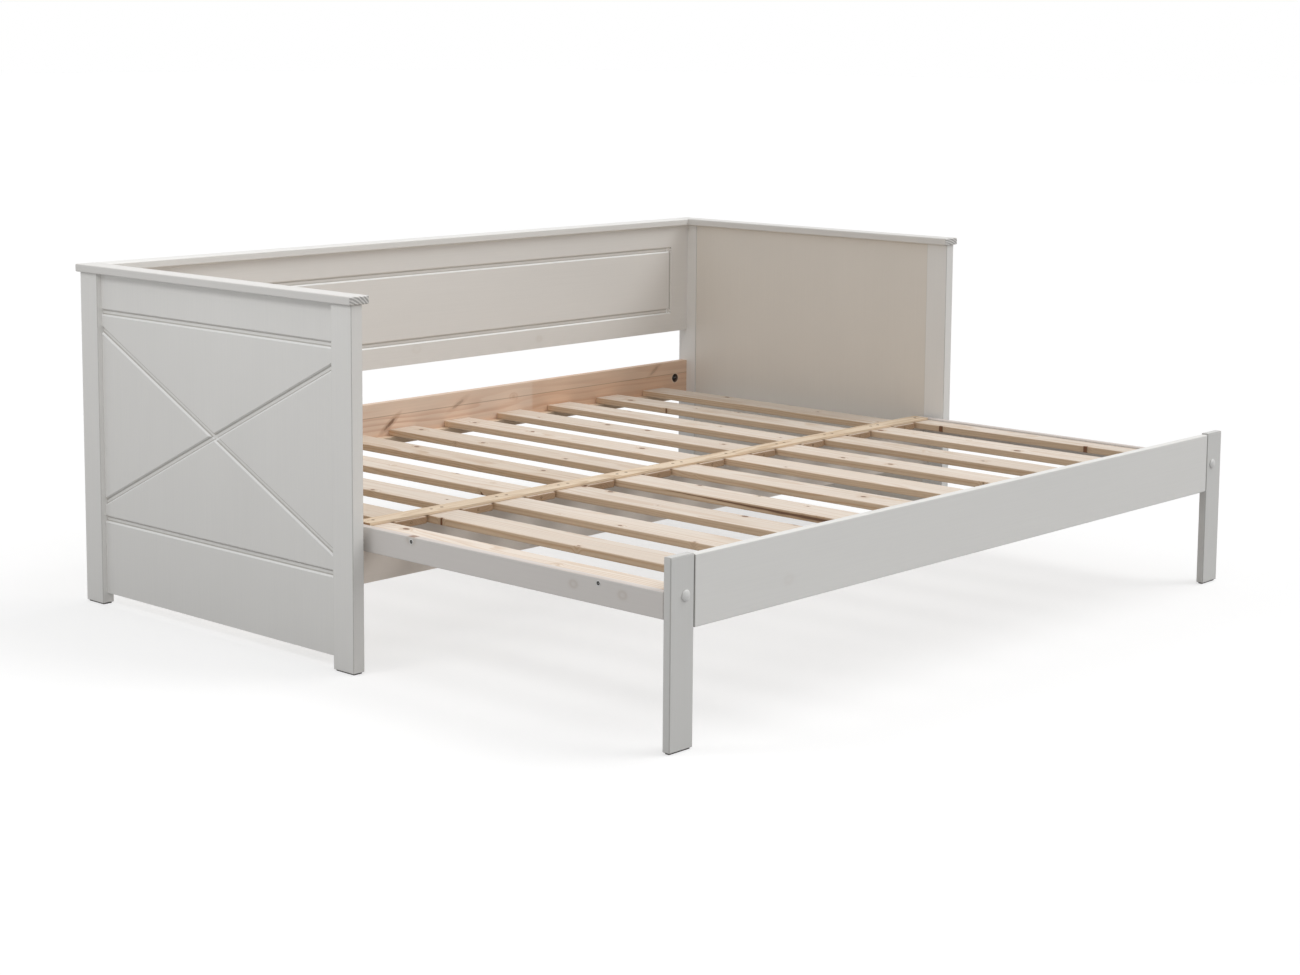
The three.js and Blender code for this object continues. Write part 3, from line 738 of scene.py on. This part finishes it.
slat_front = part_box("fixed_slat_01")[0]
middles = [middle_of(*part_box(f"fixed_slat_{i:02d}"))[0] for i in range(1, 11)]
end_screws = [(screw_head(END_SCREW_HEAD, 0.45 * MM), (0, -1, 0),
               (x, slat_front.y, slat_front.z + END_SCREW_UP), 2.4 * MM, 0.5 * MM)
              for x in middles]
turned_piece("slat_end_screws", end_screws, FIXED, screw_steel)

# ---- pull-out frame ----------------------------------------------------------------------
for i in range(1, 12):
    board_piece(f"pull_slat_{i:02d}", SLAT_EASE, Y, bark_pine if i == 5 else pine,
                PULLED)
board_piece("tie_strip", STRIP_EASE, X, strip_pine, PULLED)
board_piece("front_rail", RAIL_EASE, X, rail_paint, PULLED)
board_piece("front_ledger", LEDGER_EASE, X, ledger_pine, PULLED)
strip_lo, strip_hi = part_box("tie_strip")
strip_y = middle_of(strip_lo, strip_hi)[1]
strip_screws = []
for i in range(1, 12):
    slat_x = middle_of(*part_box(f"pull_slat_{i:02d}"))[0]
    for shift in ((0,) if i in (1, 11) else (-SCREW_PAIR, SCREW_PAIR)):
        at = (slat_x + shift, strip_y, strip_hi.z)
        strip_screws.append((screw_head(STRIP_SCREW_HEAD, 0.4 * MM), (0, 0, 1), at,
                             2.6 * MM, 0.6 * MM))
turned_piece("strip_screws", strip_screws, PULLED, screw_steel)

for side, s in SIDES:
    board_piece(f"{side}_leg", RAIL_EASE, Z, shaded_leg_paint, PULLED)
    board_piece(f"{side}_leg_glide", GLIDE_EASE, X, felt, PULLED)
    board_piece(f"{side}_corner_block", LEDGER_EASE, X, ledger_pine, PULLED)
    board_piece(f"{side}_side_rail", RAIL_EASE, Y, thin_paint, PULLED)
    lo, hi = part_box(f"{side}_leg_bolt")
    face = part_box(f"{side}_leg")[0].y
    cap, r = face - lo.y, (hi.x - lo.x) / 2
    dome = [(r * math.cos(a), 1.2 * MM + (cap - 1.2 * MM) * math.sin(a))
            for a in np.linspace(0, math.pi / 2 * 0.98, 9)]
    tip = face - hi.y
    shank = [(POLE, tip), (SHANK_RADIUS - 0.6 * MM, tip), (SHANK_RADIUS, tip + 0.8 * MM),
             (SHANK_RADIUS, -0.1 * MM), (r - 0.6 * MM, 0.0), (r, 0.5 * MM)]
    middle_x, _, middle_z = middle_of(lo, hi)
    turned_piece(f"{side}_leg_bolt_cap",
                 [(shank + dome, (0, -1, 0), (middle_x, face, middle_z), 0.0, 0.0)], PULLED,
                 cap_plastic, [f"{side}_leg_bolt"])
    lo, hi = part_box(f"{side}_stop_pin")
    r, length, rim = (hi.z - lo.z) / 2, hi.x - lo.x, TURNED_RIM
    pin = [(POLE, 0), (r - rim, 0), (r, rim), (r, length - rim), (r - rim, length),
           (POLE, length)]
    at = (lo.x, *middle_of(lo, hi)[1:])
    turned_piece(f"{side}_stop_pin_turned", [(pin, (1, 0, 0), at, 0.0, 0.0)], PULLED,
                 zinc, [f"{side}_stop_pin"])
    lo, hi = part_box(f"{side}_side_rail")
    outer = lo.x if s < 0 else hi.x
    ring = [(RAIL_SCREW_RING * 0.4, -1 * MM), (RAIL_SCREW_RING, -0.2 * MM),
            (RAIL_SCREW_RING, 0.5 * MM), (RAIL_SCREW_RING - 0.6 * MM, 0.9 * MM),
            (RAIL_SCREW_RING * 0.78, 0.9 * MM), (RAIL_SCREW_RING * 0.72, 0.5 * MM),
            (RAIL_SCREW_RING * 0.7, 0.1 * MM)]
    cups = [(ring, (s, 0, 0), (outer, y, RAIL_SCREW_Z), 0.0, 0.0) for y in RAIL_SCREW_Y]
    head = screw_head(RAIL_SCREW_RING * RAIL_SCREW_HEAD, 0.5 * MM)
    heads = [(head, (s, 0, 0), (outer, y, RAIL_SCREW_Z), 2.0 * MM, 0.5 * MM)
             for y in RAIL_SCREW_Y]
    turned_piece(f"{side}_rail_screw_cups", cups, PULLED, cap_plastic)
    turned_piece(f"{side}_rail_screws", heads, PULLED, black_screw)

# ---- studio: camera, floor, light --------------------------------------------------------
LENS, SENSOR, SHIFT_Y = 66.0985, 36.0, -0.12     # millimetres, share of the width
EYE = (-4.1520, -3.7285, 1.3120)
YAW, PITCH, ROLL = 0.8288, -0.12379, 0.00776     # radians; yaw 0 looks to the back (+Y)
forward = np.array([math.sin(YAW) * math.cos(PITCH), math.cos(YAW) * math.cos(PITCH),
                    math.sin(PITCH)])
level = np.array([math.cos(YAW), -math.sin(YAW), 0.0])
up = np.cross(level, forward)
right = math.cos(ROLL) * level + math.sin(ROLL) * up
up = np.cross(right, forward)
camera = bpy.data.objects.new("camera", bpy.data.cameras.new("camera"))
camera.data.lens, camera.data.sensor_width, camera.data.shift_y = LENS, SENSOR, SHIFT_Y
camera.data.clip_start, camera.data.clip_end = 0.05, 300.0
turn = np.eye(4)
turn[:3, 0], turn[:3, 1], turn[:3, 2], turn[:3, 3] = right, up, -forward, EYE
camera.matrix_world = Matrix(turn.tolist())
bpy.context.scene.collection.objects.link(camera)
bpy.context.scene.camera = camera


def seen_directly(tree):
    """1 for a ray that comes straight from the eye, or off metal or through glass."""
    path = tree.nodes.new("ShaderNodeLightPath")
    total = path.outputs["Is Camera Ray"]
    for label in ("Is Glossy Ray", "Is Transmission Ray"):
        n = tree.nodes.new("ShaderNodeMath")
        n.operation = "MAXIMUM"
        tree.links.new(total, n.inputs[0])
        tree.links.new(path.outputs[label], n.inputs[1])
        total = n.outputs[0]
    return total


HALF_FLOOR = 60.0
FLOOR_BOUNCE, FLOOR_SEEN = rgb(0.4, 0.4, 0.4), rgb(0.46, 0.46, 0.46)
FLOOR_GLOW = 0.58             # keeps the seen floor nearly white, and lights nothing else
SKY_LEVELS = (0.48, 0.7)      # at the horizon and straight up
corners = HALF_FLOOR * np.array([(-1, -1, 0), (1, -1, 0), (1, 1, 0), (-1, 1, 0)])
mesh = mesh_of("studio_floor", corners, [(0, 1, 2, 3)])
floor = bpy.data.objects.new("studio_floor", mesh)
bpy.context.scene.collection.objects.link(floor)
f = Finish("pale_studio_floor")
cloud = f.noise(f.place(), (0.8, 0.8, 0.8), 2.0)
seen = seen_directly(f.tree)
f.finish(f.mix(seen, FLOOR_BOUNCE, FLOOR_SEEN), f.math("MULTIPLY_ADD", cloud, 0.1, 0.85),
         specular=0.0)
f.put(f.shader.inputs["Emission Color"], (1, 1, 1, 1))
f.put(f.shader.inputs["Emission Strength"], f.math("MULTIPLY", seen, FLOOR_GLOW))
mesh.materials.append(f.material)

world = bpy.data.worlds.new("studio")
bpy.context.scene.world = world
world.use_nodes = True
tree = world.node_tree
tree.nodes.clear()
output = tree.nodes.new("ShaderNodeOutputWorld")
blend = tree.nodes.new("ShaderNodeMixShader")
lit, plain = tree.nodes.new("ShaderNodeBackground"), tree.nodes.new("ShaderNodeBackground")
height = tree.nodes.new("ShaderNodeSeparateXYZ")
level_of = tree.nodes.new("ShaderNodeMapRange")
tree.links.new(tree.nodes.new("ShaderNodeTexCoord").outputs["Generated"], height.inputs[0])
tree.links.new(height.outputs["Z"], level_of.inputs["Value"])
level_of.inputs["To Min"].default_value, level_of.inputs["To Max"].default_value = SKY_LEVELS
tree.links.new(level_of.outputs[0], lit.inputs["Strength"])
plain.inputs["Strength"].default_value = 1.0
lit.inputs["Color"].default_value = plain.inputs["Color"].default_value = (1, 1, 1, 1)
tree.links.new(seen_directly(tree), blend.inputs[0])
tree.links.new(lit.outputs[0], blend.inputs[1])
tree.links.new(plain.outputs[0], blend.inputs[2])
tree.links.new(blend.outputs[0], output.inputs[0])


def soft_sun(name, strength, softness, azimuth, elevation):
    """A broad even lamp. Azimuth 0 shines from the front (-Y), 90 from the right (+X)."""
    lamp = bpy.data.lights.new(name, "SUN")
    lamp.energy, lamp.angle = strength, math.radians(softness)
    a, e = math.radians(azimuth), math.radians(elevation)
    holder = bpy.data.objects.new(name, lamp)
    bpy.context.scene.collection.objects.link(holder)
    holder.rotation_euler = (math.pi / 2 - e, 0, a)


soft_sun("key_lamp", strength=0.6, softness=32, azimuth=76, elevation=58)
soft_sun("front_lamp", strength=0.7, softness=30, azimuth=48, elevation=42)

# A square lamp up on the left, near enough that it grazes the left end and little else.
SIDE_LAMP_AT, SIDE_LAMP_TILT = (-2.3, 0.25, 1.85), math.radians(48)
side_lamp = bpy.data.lights.new("side_lamp", "AREA")
side_lamp.energy, side_lamp.size = 7.0, 0.5
holder = bpy.data.objects.new("side_lamp", side_lamp)
bpy.context.scene.collection.objects.link(holder)
holder.location = SIDE_LAMP_AT
holder.rotation_euler = (0, -SIDE_LAMP_TILT, 0)
holder.visible_camera = holder.visible_glossy = False

view = bpy.context.scene.view_settings
view.view_transform = "Standard"
